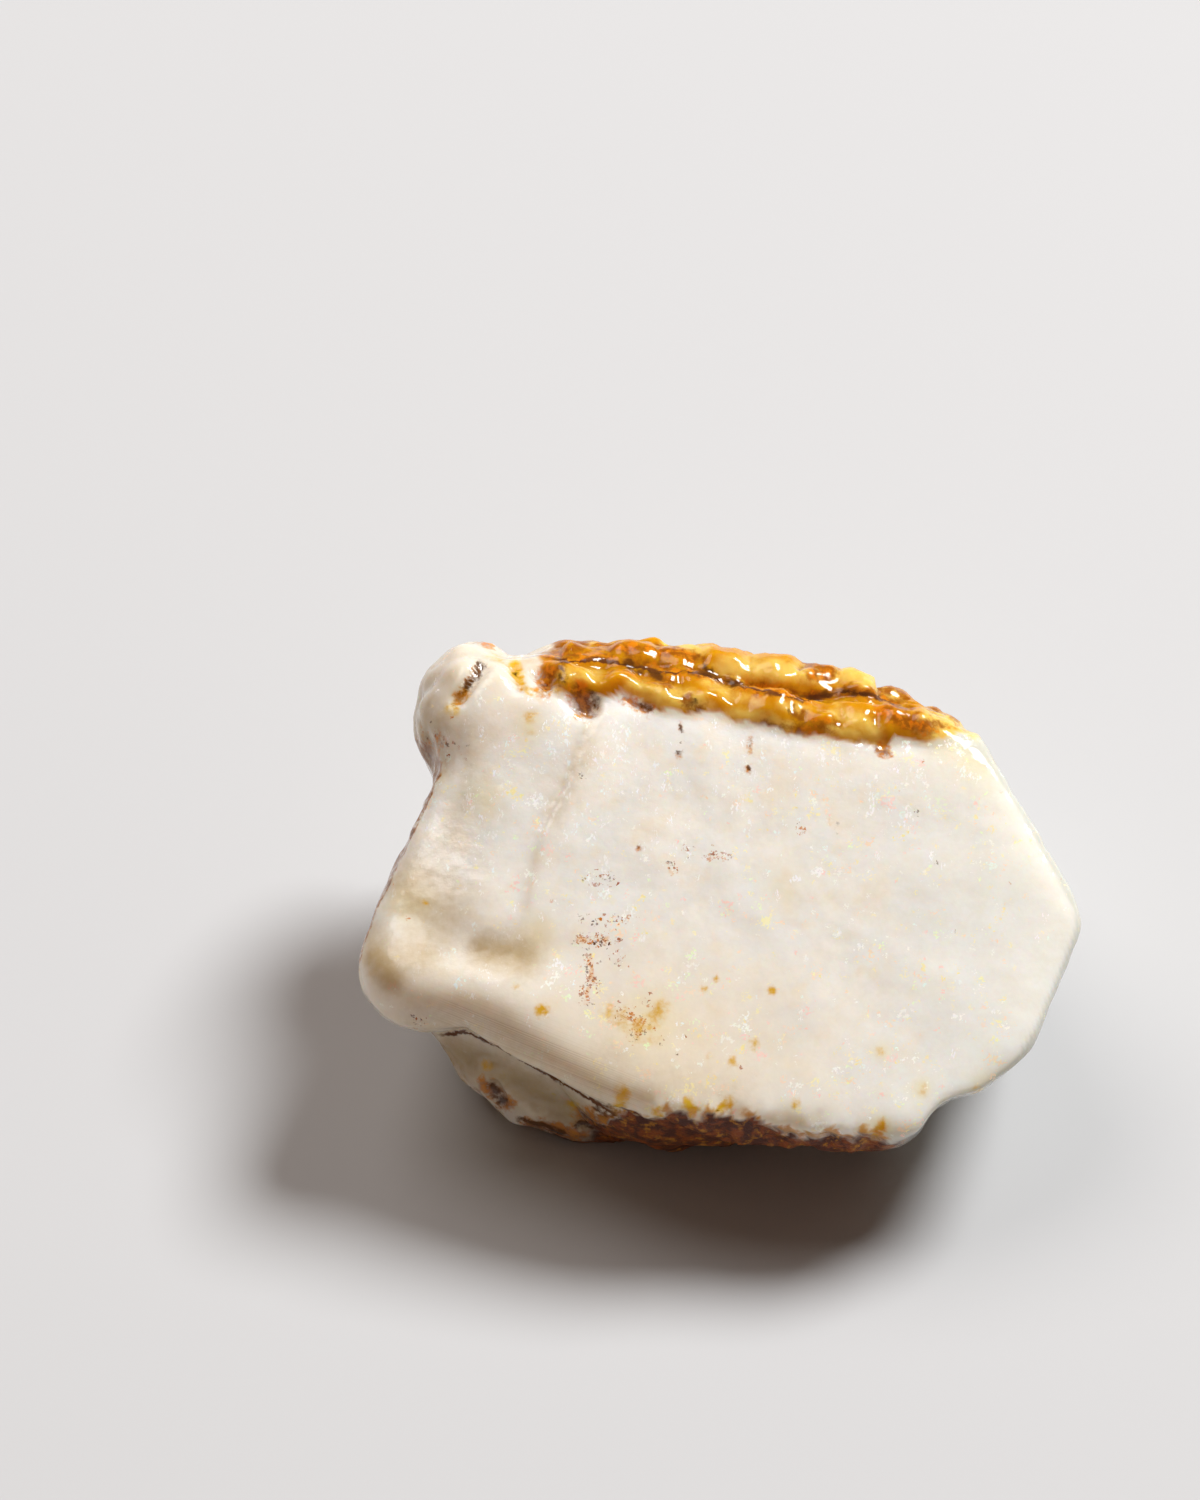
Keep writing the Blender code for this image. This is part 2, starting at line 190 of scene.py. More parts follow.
# The top edge of the brown crust, the same.
CRUST_EDGE = (
    -7, -12.4, -6, -12.2, -5.4, -11.7, -4.6, -11.6, -3.4, -11.9, -2, -11.3, -1.2, -11.7, 0, -11.4,
    1.8, -11.7, 3.2, -12.3, 4.6, -12.9, 6.2, -12.7, 7.2, -12.9, 8.2, -12.6, 9.2, -13.2,
)

# Soft strokes: half width in mm, strength, then u and v of each place on the way. One place is a round spot.
STROKES = {
    # Near-black brown in the pits, between the ridges, under the lip and as single grains.
    "dark": (
        (0.3, 0.75, -4.8, 12.5, -3.8, 12.1, -3, 11.8), (0.3, 0.7, -0.6, 12.2, 0.4, 11.6, 1.1, 11.4),
        (0.28, 0.75, 5.9, 10.9, 7.2, 11.1, 8.6, 10.7), (0.16, 0.45, 4.6, 10.4, 3.9, 9.9, 4.1, 9.3, 6.2, 9.1),
        (0.3, 1, -12.65, 12.4, -12.95, 11.9, -13.3, 11.3), (0.2, 0.55, -13.3, 11.3, -13.9, 10.6),
        (0.16, 0.7, -10.8, 12.2, -10.65, 11.7), (0.28, 0.8, -8.3, 12.3, -8.4, 11.6),
        (0.26, 0.95, -6.6, 11, -6.5, 10.3), (0.2, 0.6, -4, 10.3, -3.6, 10),
        (0.22, 0.6, -1.4, 10.3, -1.1, 10.4), (0.32, 1, -12, -10.3, -11.5, -11.1),
        (0.28, 1, -7.3, -12.4, -6.5, -12.5), (0.45, 0.8, -6.2, -11.3, -5.2, -11.9, -4.4, -12.3),
        (0.2, 0.75, -10.6, -12.1, -9.4, -12.4, -8.2, -12.8), (0.12, 0.75, -2, 9.2, -1.8, 8.8),
        (0.1, 0.45, 1.85, 8.4, 1.8, 8), (0.1, 0.55, 6.5, 3.9, 6.4, 3.4), (0.18, 0.5, -9, 11.4),
        (0.18, 0.55, -7.4, 10.4), (0.2, 0.6, -13.2, -10.5), (0.18, 0.8, 0.1, -11.35),
        (0.15, 0.95, -1.95, 7.7), (0.14, 0.9, 1.85, 6.85), (0.13, 0.8, -4.15, 2.7), (0.14, 0.7, -17.3, -2),
        (0.13, 0.8, -16, -4.1), (0.11, 0.5, -8.9, 6.1),
    ),
    # Rust about the dark places and along the ridges.
    "rust": (
        (0.26, 0.7, -12.9, 12.2, -14, 10.3), (0.5, 0.85, -8.9, 12.1, -9.2, 11.2), (0.5, 1, -7.4, 11, -7, 10),
        (0.36, 0.6, -4.8, 10.6, -3.7, 10), (0.13, 0.8, -12.6, 13.6, -11.8, 13.4, -10.8, 13.4),
        (0.28, 0.85, 8.7, 8, 9.1, 7.7), (0.42, 0.55, 5, 9.1, 6, 9.2),
        (0.42, 0.65, 9, 9.9, 10.6, 9.2, 11.6, 8.9), (0.5, 0.55, -4.8, 12.3, -2.6, 11.9),
        (0.45, 0.45, 5.2, 12, 6, 12),
        (0.3, 0.55, -9, 12.9, -6.2, 12.8, -3, 12.1, -1.2, 12, 0.4, 11.5, 2.4, 11.1),
        (0.26, 0.6, -6.2, 13.5, -2.6, 13.2, -1, 12.7), (0.32, 0.6, 2.4, 11.1, 5, 10.6, 7, 11.1, 9.6, 10.4),
        (0.12, 0.5, 12.6, 9.1, 13.2, 9.2), (0.22, 0.4, -2, 9.2, -1.8, 8.6), (0.18, 0.4, 1.85, 8.4, 1.8, 7.8),
        (0.55, 0.45, -15, 8.3, -15.6, 7.6), (0.45, 0.75, -12.4, -10.2, -11.2, -11.2),
        (0.34, 0.85, -10.2, -12.3, -8.6, -12.6, -7.6, -12.9, -6, -13), (0.4, 0.8, -5.4, -12.6, -4.2, -12.7),
        (0.3, 0.3, -5.2, -6.3, -4.4, -6.8), (0.6, 0.75, -7, -12, -5.4, -12, -4.2, -12.5),
        (0.26, 0.55, -1.95, 7.6), (0.26, 0.6, 1.85, 6.75), (0.24, 0.5, -4.1, 2.6),
    ),
    # Bright yellow ochre.
    "yellow": (
        (0.24, 1, -10.8, 12.4, -10.6, 11.5), (0.16, 0.8, -10.5, 11.4, -10.1, 10.9),
        (0.34, 0.6, -13.5, 11, -14.2, 10), (0.24, 0.35, -12, 12.9, -11.4, 12.6),
        (0.16, 0.45, -9.7, 10.9, -8.3, 11), (0.22, 1, 8.8, -12, 8.6, -12.6, 8.3, -13),
        (0.24, 1, -1.6, -10.9, -1.3, -11.5), (0.22, 0.8, -3.2, -11.3, -3.1, -11.7),
        (0.22, 0.95, 0.7, -10.9, 0.1, -11.3), (0.36, 0.7, -5, -10.4, -5.2, -11),
        (0.42, 0.42, -5.8, -6, -5.2, -6.6, -4.2, -6.9, -3.4, -6.5, -2.9, -5.9),
        (0.4, 0.24, -4.4, -7.6, -3.2, -7.6), (0.3, 0.4, -10.3, 9.6, -9.8, 9.7), (0.3, 1, -9.3, -6.05),
        (0.16, 0.7, -10.8, -4.8), (0.24, 0.7, 2.9, -5), (0.28, 0.6, 2, -7.8), (0.18, 0.8, 0, -4.3),
        (0.18, 0.7, -0.7, -4.9), (0.24, 0.6, 0.8, -8.8), (0.18, 0.6, -0.4, -8.5), (0.22, 0.9, 4.2, -11),
        (0.24, 0.5, 8.7, -8.2), (0.28, 0.5, 10.9, -10.2), (0.36, 0.5, 13.9, -10.5), (0.22, 0.9, -12.3, -9.1),
        (0.28, 0.6, -7.7, -11.3), (0.22, 0.75, -3.2, -6.2), (0.26, 0.6, -4.9, -6.1), (0.22, 0.4, 6.05, 3.95),
        (0.36, 0.25, -10, 8.7), (0.16, 0.6, -15.5, -0.3),
    ),
    # Soft tan clouds: partly the stone's own tan stain and partly painted shade, on the left side, along the
    # step, beside the knob, down the lip's slope and on the lobe under the lip.
    "tan": (
        (1.1, 0.8, -12.3, -2.9, -10.4, -3.2), (0.9, 0.85, -18.2, -3.2, -17.4, -4.2),
        (1.9, 0.55, -16.4, 0.8, -14.8, -0.6, -15.4, -2), (1.3, 0.6, -18.6, -2.4, -17.2, -3.2, -15.6, -3),
        (0.45, 0.2, -10.3, -0.5, -9, 3.5, -8.2, 5), (0.65, 0.36, -8.6, 4.2, -7.2, 7.4, -6.4, 10.2),
        (1, 0.75, -15.6, 9.2, -15.2, 7.2), (0.5, 0.45, -14.8, 9.4, -13.6, 11),
        # Painted shadow in the valley between the knob and the face.
        (0.7, 0.3, -13.6, 9, -13.2, 6, -14.6, 2.5),
        # Painted shade darkening the lip's slope toward its edge, and the lobe in the lip's shade.
        (1.3, 0.36, -16, -6.4, -13, -7.2, -11, -8.4, -7.5, -10.4, -5.6, -11.4),
        (1, 0.8, -14.4, -8.4, -11.6, -9.4, -8.6, -11.2, -6.8, -12.2), (0.55, 0.2, 0.8, 5, 0.9, 3.6),
        (1.3, 0.28, -2.6, -9.6, 1, -10.6), (1.2, 0.3, -6, -8.6, -3, -10.4),
    ),
    # The paler and yellower places of the amber skin; the last three strokes are partly painted light.
    "pale": (
        (0.45, 0.65, -8.2, 12, -6.4, 11.8), (0.4, 0.75, -4.6, 11.3, -2.6, 10.9, -0.8, 10.6),
        (0.4, 0.6, -0.6, 11.6, 0.8, 10.8, 2.2, 10.4), (0.35, 0.6, 3.6, 10.3, 4.8, 10),
        (0.5, 0.7, 6.6, 9.9, 7.4, 9.6, 8.6, 8.8), (0.6, 0.85, 0.6, 12.4, 3.5, 12.2, 5.4, 12),
        (0.6, 0.9, 7, 12, 8.4, 11.7, 9.6, 11), (0.8, 1.2, 11.6, 9.2, 13, 8.8, 15, 8.4),
        (0.4, 0.6, -6.8, 13.9, -5.4, 13.9), (0.4, 0.8, -2.6, 13.7, -0.6, 13.3),
        # Painted light, partly the edge's own golden tone: brightens the amber's front edge where it turns
        # down into shade.
        (0.36, 0.75, -4.2, 10.7, -2.6, 10.3, -0.3, 10.3), (0.36, 0.75, 0.7, 9.8, 2.6, 9.6, 3.8, 9.1),
        (0.36, 0.75, 6.2, 8.9, 7.8, 8.5, 8.9, 8.2),
    ),
    # The deeper brown places of the amber skin.
    "deep": (
        (0.3, 0.55, -8.8, 13.1, -5.6, 12.8, -1.4, 12.2, 1.6, 11.3, 5, 10.7, 8, 11, 10.6, 9.9),
        (0.34, 0.6, -6.4, 13.5, -3, 13.3, -1, 12.8), (0.36, 0.6, -3.1, 11.8, -2.5, 11.4),
        (0.36, 0.6, -1.5, 10.4, -1, 10.2), (0.34, 0.5, 2.2, 9.2, 4.2, 9, 5.4, 9.3),
        (0.34, 0.55, 4.2, 9.9, 5.2, 9.2, 6.4, 9.2), (0.42, 0.6, 9.2, 10.2, 10, 9.4, 11.8, 9.2),
        (0.45, 0.55, -8.8, 13, -7.4, 13.3), (0.6, 0.7, 5.2, 12.2, 6, 12),
    ),
    # Fine lines along the lip.
    "striae": (
        (0.9, 0.55, -14, -6.6, -11, -7.4, -7.5, -9.2, -5, -10.6),
    ),
    # Where brown grains crowd together.
    "specks": (
        (0.26, 1, -7.4, -2.3, -6.4, -2.4, -5.8, -2.3), (0.34, 0.55, -5.5, -2.6, -5.2, -3.4),
        (0.24, 1, -6.75, -3.2, -6.7, -4.4), (0.24, 0.9, -6.9, -4.8, -6.95, -5.7),
        (0.24, 0.45, -7.2, -1.2, -5, -1.2), (0.26, 0.5, -6.6, 0.9, -5.6, 1),
        (0.18, 0.9, -2.6, 1.7, -2.4, 1.2), (0.3, 0.35, -1.6, 2.6, 0.6, 2),
        (0.36, 0.7, -4.9, -6.2, -4, -6.7, -4.4, -7.3), (0.3, 0.5, -3.6, -5.6), (0.22, 0.55, 4.6, 3.6),
        (0.3, 0.55, -15.9, -6.6), (0.8, 0.25, -14.8, 8.4), (0.5, 0.3, -2.6, -7.8),
    ),
    # Lemon in the opal.
    "tinge": (
        (1.1, 0.9, 12.6, 8.6), (1.3, 1, 14.3, 8), (0.8, 0.8, 14.4, -10.3), (0.6, 0.6, 15.4, -10),
        (0.7, 0.8, 8.6, -12.4), (0.45, 0.6, 8.8, -8.2), (0.45, 0.7, 10.9, -10.2), (0.9, 0.8, -16.4, -0.4),
        (0.8, 0.6, -9.7, -2.2), (0.6, 0.7, -10, 9.2), (0.9, 0.5, -12.4, 5.4), (1.3, 0.6, -3.6, -6.6),
        (0.8, 0.3, 3.4, 0.4),
    ),
    # Where the face ripples, which is also where the painted glints lie.
    "ripple": (
        (4, 1, -6, 7), (3.5, 0.8, -12.5, 7.5), (3, 0.9, 2, 8), (3, 0.8, 8, 7.5), (2.6, 0.9, -14.5, 3.5),
        (2.5, 0.6, -13.5, -4.6), (3, 0.7, -4, 3.5), (1.8, 1, 13.6, 8.4),
    ),
    # Where the play of colour shows most.
    "fire": (
        (4.5, 0.6, -6, 0.5), (4.5, 0.7, 4.5, 3), (4.5, 1, 11, 3.5), (4, 0.8, 12, -4), (4.5, 1, 8, -8),
        (4.5, 0.8, -1, -7), (3, 0.4, -11, 6), (2.5, 0.8, -6.5, -5),
    ),
}

# The fine lines along the lip keep to layers across this direction of u and v.
LAYER_ACROSS = (0.37, 0.93)
LAYER_RANGE = 60  # mm across which the layers are told

# Thin lines, under the lip and in the amber skin's groove: u and v, the same. The line under the lip is
# partly brown and partly painted shade in the crease there.
LIP_LINE = (
    -15.2, -7.55, -14.6, -7.5, -13.4, -7.35, -11.7, -8.05, -9.5, -9.35, -7.5, -10.4, -6.2, -11.2, -5, -12,
)
GROOVE = (
    -9.2, 12.8, -8, 12.6, -6.2, 12.7, -4.2, 12.25, -2.6, 12, -1.4, 12.1, 0.3, 11.6, 1.1, 11.4, 2.4, 11.05,
    4.8, 10.5, 5.7, 10.7, 7, 11.05, 8.4, 10.8, 9.4, 10.4, 10.4, 10.1,
)
LINE_RANGE = 6  # mm across which a line is told from one side to the other
LINE_ENDS = 0.8  # mm over which a line fades in and out

FADE = 0.7  # how steeply strokes fade away from their middle

# Noise that shapes the colours: size of its lumps in mm and how many layers it has.
RAGGED = (0.8, 3)  # breaks up the edges of the colours
WAVY = (0.6, 2)  # bends the strokes
WAVY_SHIFT = 0.14  # mm
TORN = (2, 3)  # tears the back edge of the amber skin
TORN_SHIFT = 1.8  # mm
PATCHY = (1.2, 2)  # thins the dark strokes
PATCHY_RANGE = (-0.35, 0.25)  # the noise where they are thinnest and where they are whole
PATCHY_LEAST = 0.7

# Zones of colour along u, v or w: where each sets in and is full, and how many mm of ragged noise are added.
U, V, W = 0, 1, 2
ZONES = {
    "front_half": ((W, -6, -4, 0),),
    "amber": ((U, -9.9, -9.3, 0.4), (U, 15.8, 12.6, 0.5)),
    "behind_front_ridge": ((W, 2.2, 1, 0),),
    "crust_in_front": ((U, -7.2, -6.4, 0), (U, 9.6, 9, 0)),
    "crust_underneath": ((V, -11.4, -12.2, 0.5), (U, -10, -8.6, 1), (U, 10.2, 9, 1)),
    "fringe": ((U, -6.8, -5.8, 0), (U, 9.6, 8.8, 0)),
    "left_side": ((U, -12.6, -14, 0), (V, -5, -3, 0), (V, 9.5, 8, 0)),
    "knob": ((U, -7.8, -10, 0), (V, 8, 11.5, 0)),
    "right_edge": ((U, 6, 12, 0),),
    "clear": ((U, 5, 17, 0),),
    "cream": ((V, 0, -9, 0), (U, 9, -2, 0)),
}

# Edges of colour told by another measure: where each sets in and is full, and how much ragged noise is added.
EDGES = {
    "amber_front": (-0.12, 0.12, 0.25),  # mm above the amber's front edge
    "amber_back": (-2.4, -1.4, 0.4),  # mm beyond the plane of the top skin
    "crust_top": (-0.08, 0.12, 0.35),  # mm below the crust's top edge
    "fringe": (-0.38, -0.02, 0.65),  # the same
    "hidden_crust": (0.35, 0.6, 0.3),  # share of crust
    "left_side": (0.45, 0.1, 0.2),  # share of facing along w
    "between_ridges": (0.45, 0.1, 0),  # mm that a ridge is tall
}
FRONT_FROM = 0.05  # share of facing along w from which the crust ends at its top edge
BETWEEN_DEEP = 0.5  # how deep a brown the amber is between its ridges
SIDE_DARK = 0.45  # how dark and how rusty the left side is
SIDE_RUST = 0.55
# The knob's duller tone is partly its own and partly painted shade, strongest on its brightly lit rim.
KNOB_LEAST = 0.4  # how dull the knob is away from the rim


def facing(turn, lean):
    """The unit vector that is turned from u toward v and then leaned toward w, in degrees."""
    turn = math.radians(turn)
    lean = math.radians(lean)
    flat = math.cos(lean)
    return np.array((flat * math.cos(turn), flat * math.sin(turn), math.sin(lean)))


def smaller(a, b, blend):
    """The smaller of two distances, rounded where they cross."""
    overlap = np.maximum(blend - np.abs(a - b), 0) / blend
    return np.minimum(a, b) - overlap * overlap * blend / 4


def ramp(values, start, full):
    """0 up to start and 1 from full on, with a smooth change between. Start may be the higher of the two."""
    share = np.clip((values - start) / (full - start), 0, 1)
    return share * share * (3 - 2 * share)


def grain(points, size, octaves=1):
    """Smooth noise of about -1 to 1, with lumps of the given size in mm."""
    return np.array([noise.fractal(Vector(point) / size, 1, 2, octaves) for point in points])


def ellipsoid(points, centre, half_sizes, turn):
    """About how far each point is outside an ellipsoid."""
    turn = math.radians(turn)
    offset = points - np.array(centre)
    along = offset[:, 0] * math.cos(turn) + offset[:, 1] * math.sin(turn)
    across = offset[:, 1] * math.cos(turn) - offset[:, 0] * math.sin(turn)
    scaled = np.stack((along, across, offset[:, 2]), axis=1) / np.array(half_sizes)
    reach = np.linalg.norm(scaled, axis=1)
    steep = np.linalg.norm(scaled / np.array(half_sizes), axis=1)
    return reach * (reach - 1) / np.maximum(steep, 1e-9)


def beyond(points, name):
    """How far each point is beyond the plane of one break."""
    turn, lean, distance = BREAKS[name]
    return points @ facing(turn, lean) - distance


def above_line(points, places):
    """How many mm of v each point is above a line that runs from left to right."""
    return points[:, 1] - np.interp(points[:, 0], places[::2], places[1::2])


def outside(points):
    """About how far each point is outside the stone, before its small relief."""
    total = np.zeros(len(points))
    edge_round = EDGE_ROUND + (WORN_ROUND - EDGE_ROUND) * ramp(points[:, 0], *WORN_ALONG)
    for name in BREAKS:
        total += np.exp(beyond(points, name) / edge_round)
    depth = edge_round * np.log(total)
    for centre, half_sizes, turn, blend in LUMPS.values():
        depth = smaller(depth, ellipsoid(points, centre, half_sizes, turn), blend)
    for centre, half_sizes, turn, blend in HOLLOWS.values():
        depth = -smaller(-depth, ellipsoid(points, centre, half_sizes, turn), blend)
    return depth


def surface(directions):
    """The outermost point of the stone along each direction from its heart, and its outward normal."""
    spread = directions * np.array(GRID_SHAPE)
    stray = np.stack([grain(spread + place, WANDER_SIZE) for place in WANDER_PLACES], axis=1)
    stray *= WANDER * (1 - CALM * ramp(directions[:, 2:], *CALM_ALONG))

    def depth_at(rows, reach):
        return outside(directions[rows] * reach[:, None] + stray[rows])

    every = np.arange(len(directions))
    step = FARTHEST / MARCH_STEPS
    inner = np.full(len(directions), FARTHEST)
    waiting = every
    while len(waiting):
        inner[waiting] -= step
        waiting = waiting[depth_at(waiting, inner[waiting]) >= 0]
    outer = inner + step
    for _ in range(HALVINGS):
        middle = (inner + outer) / 2
        inside = depth_at(every, middle) < 0
        inner = np.where(inside, middle, inner)
        outer = np.where(inside, outer, middle)
    points = directions * inner[:, None]
    normals = np.empty_like(points)
    for axis in range(3):
        nudge = np.zeros(3)
        nudge[axis] = NUDGE
        normals[:, axis] = outside(points + stray + nudge) - outside(points + stray - nudge)
    return points, normals / np.linalg.norm(normals, axis=1)[:, None]


def from_segment(points, start, end):
    """Distance along u and v from each point to a straight stretch."""
    start = np.array(start)
    run = np.array(end) - start
    offset = points[:, :2] - start
    share = np.clip(offset @ run / (run @ run), 0, 1)
    return np.linalg.norm(offset - share[:, None] * run, axis=1)


def on_the_skin(points):
    """1 where the top skin's ridges stand at their full height."""
    return ramp(beyond(points, "top_skin"), *SKIN_DEPTH) * ramp(points[:, 0], *SKIN_ALONG)


def nodules(points):
    """Height of the nodules of the ridges on the top skin."""
    height = np.zeros(len(points))
    strayed = points.copy()
    strayed[:, 0] += RIDGE_STRAY * grain(points, RIDGE_STRAY_SIZE)
    strayed[:, 2] += RIDGE_STRAY * grain(points[:, ::-1], RIDGE_STRAY_SIZE)
    for start, change, half_width, tall, middles in NODULE_ROWS.values():
        gaps = np.diff(middles)
        before = np.concatenate((gaps[:1], gaps))
        after = np.concatenate((gaps, gaps[-1:]))
        for middle, gap_before, gap_after in zip(middles, before, after):
            offset = strayed[:, 0] - middle
            half_length = np.where(offset < 0, gap_before, gap_after) / 2 * NODULE_OVERLAP
            across = (strayed[:, 2] - start - change * strayed[:, 0]) / half_width
            dome = np.sqrt(np.clip(1 - (offset / half_length) ** 2, 0, 1))
            crest = tall * (NECK * ramp(dome, *DOME_EDGE) + (1 - NECK) * dome)
            height = np.maximum(height, crest * np.sqrt(np.clip(1 - across ** 2, 0, 1)))
    return height * ramp(points[:, 0], *ROWS_ALONG)


def sinks(points, facing_w):
    """Depth of the pits, on the side of the stone that faces along w."""
    depth = np.zeros(len(points))
    for start, end, half_width, deep in PITS.values():
        away = from_segment(points, start, end) / half_width
        depth = np.maximum(depth, deep * ramp(away, *PIT_WALL))
    return depth * facing_w


def swellings(points, facing_w):
    """Height of the swellings and dips of the broken face."""
    height = np.zeros(len(points))
    for start, end, half_width, tall in SWELLINGS.values():
        middle = (np.array(start) + np.array(end)) / 2
        run = np.array(end) - np.array(start)
        half_length = np.linalg.norm(run) / 2
        offset = points[:, :2] - middle
        along = offset @ run / (2 * half_length) / half_length
        across = (offset[:, 0] * run[1] - offset[:, 1] * run[0]) / (2 * half_length) / half_width
        height += tall * np.exp(-along * along - across * across)
    return height * facing_w


def step_down(points, facing_w):
    """Drop of the broken face just to the left of its step."""
    line = np.array(STEP)
    edge = np.interp(points[:, 1], line[::-1, 1], line[::-1, 0])
    left = edge - points[:, 0]
    drop = ramp(left, *STEP_EDGE) * ramp(left, STEP_FADE, STEP_EDGE[1])
    along = ramp(points[:, 1], line[-1, 1], line[-1, 1] + STEP_RUN)
    return STEP_DROP * drop * along * facing_w


def crust_share(points):
    """1 on the rough crust along the bottom and underneath, 0 on the opal."""
    low = ramp(beyond(points, "crust_strip"), *CRUST_DEPTH)
    under = ramp(points[:, 1] + UNDER_SLANT * points[:, 2], *UNDER_LEVEL) * ramp(points[:, 2], *UNDER_DEPTH)
    return np.maximum(low, under) * ramp(points[:, 0], *CRUST_LEFT) * ramp(points[:, 0], *CRUST_RIGHT)


def uneven(points, name):
    """Height of one kind of unevenness."""
    return sum(tall * grain(points, size, layers) for tall, size, layers in UNEVENNESS[name])


def relief(points, normals):
    """Points of the stone with the small relief added, and how much each sort of surface is there."""
    facing_w = ramp(normals[:, 2], *ON_FACE)
    shares = {
        "facing_w": facing_w,
        "rim": ramp(normals[:, 2], *RIM),
        "back": ramp(normals[:, 2], *ON_BACK),
        "sides": ramp(points[:, 2], *ON_SIDES),
        "skin": on_the_skin(points),
        "crust": crust_share(points),
        "ridge": nodules(points),
    }
    above = above_line(points, AMBER_EDGE)
    skin = shares["ridge"] * ramp(above, *RIDGE_ABOVE) + uneven(points, "skin") * ramp(above, *RUGGED_ABOVE)
    height = skin * shares["skin"] - sinks(points, facing_w) + swellings(points, facing_w)
    height -= step_down(points, facing_w)
    height += uneven(points, "opal") * (1 - FACE_EVEN * facing_w)
    height += uneven(points, "opal_fine") * (1 - shares["skin"])
    for name in ("sides", "back", "crust"):
        height += uneven(points, name) * shares[name]
    return points + normals * height[:, None], shares


def grid():
    """Directions and quads of a cube-shaped grid spread over an ellipsoid."""
    ticks = np.tan(np.linspace(-1, 1, CELLS + 1) * math.pi / 4)
    number = {}
    directions = []
    quads = []

    def corner(key):
        if key not in number:
            number[key] = len(directions)
            directions.append([ticks[i] for i in key])
        return number[key]

    for axis in range(3):
        for side in (0, CELLS):
            for a in range(CELLS):
                for b in range(CELLS):
                    ring = []
                    for da, db in ((0, 0), (1, 0), (1, 1), (0, 1)):
                        key = [0, 0, 0]
                        key[axis] = side
                        key[(axis + 1) % 3] = a + da
                        key[(axis + 2) % 3] = b + db
                        ring.append(corner(tuple(key)))
                    quads.append(ring if side else ring[::-1])
    directions = np.array(directions)
    directions /= np.linalg.norm(directions, axis=1)[:, None]
    directions *= np.array(GRID_SHAPE)
    directions /= np.linalg.norm(directions, axis=1)[:, None]
    return directions, quads


def height_above_heart(points):
    rise = math.radians(FACE_RISE)
    return points[:, 1] * math.cos(rise) + points[:, 2] * math.sin(rise)


def cut_flat(points):
    """Points drawn in toward the heart where they would lie below the flat underside."""
    up = height_above_heart(points)
    below = up < -BASE_DROP
    points = points.copy()
    points[below] *= (BASE_DROP / -up[below])[:, None]
    return points


def at_rest(points):
    """Points of the face's frame, in mm, moved to where they are in the resting stone, in metres."""
    rise = math.radians(FACE_RISE)
    across = points[:, 1] * math.sin(rise) - points[:, 2] * math.cos(rise)
    up = np.maximum(height_above_heart(points) + BASE_DROP, 0)
    return np.stack((points[:, 0] + HEART_X, across + HEART_Y, up), axis=1) * MM


# ---- Colour shares at each point of the mesh

def strokes(points, name):
    """Soft strokes and round spots along u and v."""
    total = np.zeros(len(points))
    for half_width, strength, *places in STROKES[name]:
        places = np.reshape(places, (-1, 2))
        away = np.hypot(points[:, 0] - places[0, 0], points[:, 1] - places[0, 1])
        for start, end in zip(places, places[1:]):
            away = np.minimum(away, from_segment(points, start, end))
        total = np.maximum(total, strength * np.exp(-FADE * (away / half_width) ** 2))
    return total


def beside_line(points, places):
    """How far each point is above a line that runs from left to right, told from 0 to 1."""
    return 0.5 + above_line(points, places) / LINE_RANGE


def near_line(points, places):
    """1 along the length of a line that runs from left to right, and 0 past its ends."""
    first, last = places[0], places[-2]
    return ramp(points[:, 0], first, first + LINE_ENDS) * ramp(points[:, 0], last, last - LINE_ENDS)


def zone(points, ragged, name):
    """1 inside a zone of colour and 0 outside it."""
    share = np.ones(len(points))
    for axis, start, full, shift in ZONES[name]:
        share *= ramp(points[:, axis] + shift * ragged, start, full)
    return share


def edge(values, ragged, name):
    """1 on the inner side of an edge of colour and 0 on its outer side."""
    start, full, added = EDGES[name]
    return ramp(values + added * ragged, start, full)


def amber_share(points, ragged):
    """1 on the amber skin, which ends in a ragged edge along the broken face and a torn one behind."""
    front = edge(above_line(points, AMBER_EDGE), ragged, "amber_front")
    depth = beyond(points, "top_skin") + TORN_SHIFT * grain(points, *TORN)
    return front * edge(depth, ragged, "amber_back") * zone(points, ragged, "amber")


def crust_cover(points, shares, ragged):
    """1 where the brown crust covers the opal."""
    seen = edge(-above_line(points, CRUST_EDGE), ragged, "crust_top") * zone(points, ragged, "crust_in_front")
    hidden = edge(shares["crust"], ragged, "hidden_crust")
    hidden = np.maximum(hidden, zone(points, ragged, "crust_underneath"))
    return np.where(shares["facing_w"] > FRONT_FROM, seen, hidden)


